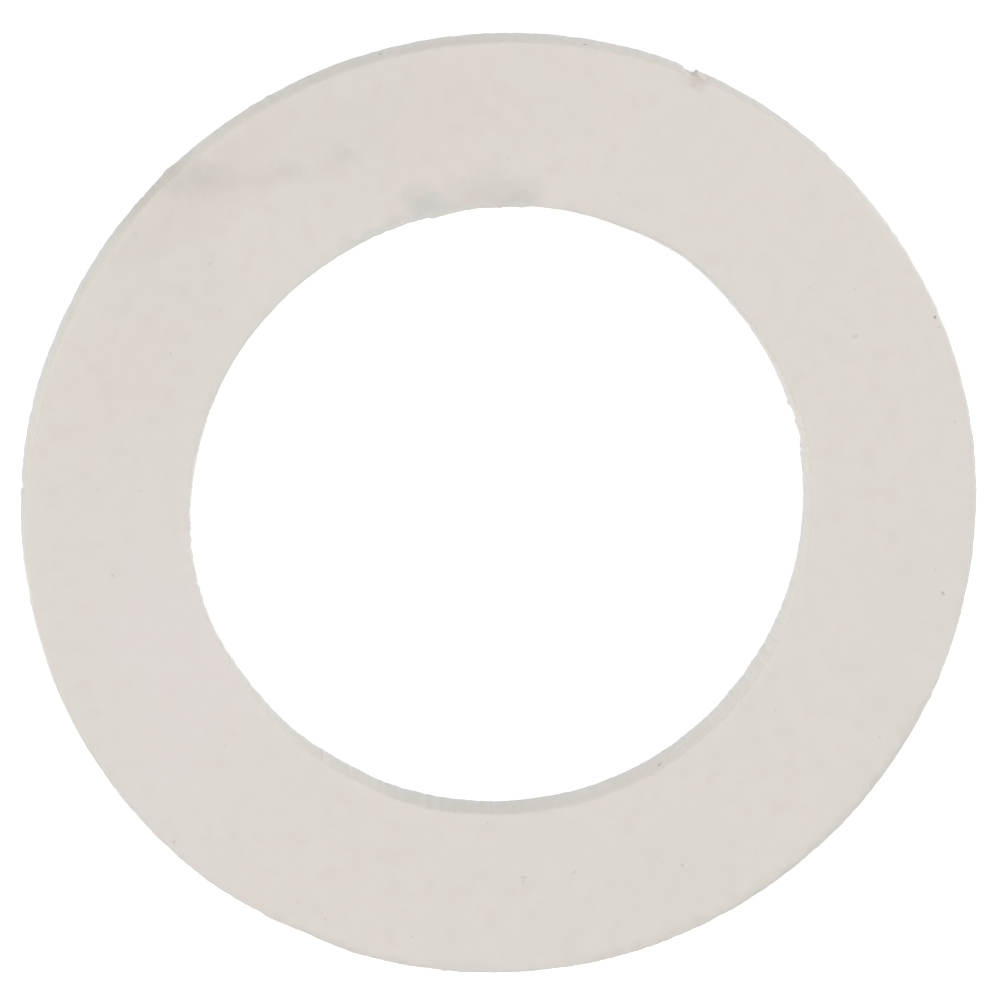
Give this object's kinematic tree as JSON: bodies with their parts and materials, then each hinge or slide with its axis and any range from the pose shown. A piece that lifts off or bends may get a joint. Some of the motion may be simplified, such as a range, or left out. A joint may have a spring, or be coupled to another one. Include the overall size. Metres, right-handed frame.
{
  "type": "union gasket",
  "caption": "Flat ring gasket die-cut from translucent silicone sheet, clamped between the faces of a pipe union to seal it.",
  "frame": {"origin": "centre of the bore on the lower face, which lies on the surface the gasket rests on", "axes": "+Z along the bore axis, from the lower face to the upper one; +X and +Y are the picture's right and up, seen from above"},
  "size_m": [0.0397, 0.0396, 0.0016],
  "materials": {
    "silicone": "translucent milky silicone rubber, matt satin"
  },
  "bodies": {
    "root": {"gasket_ring": "silicone"}
  },
  "joints": []
}
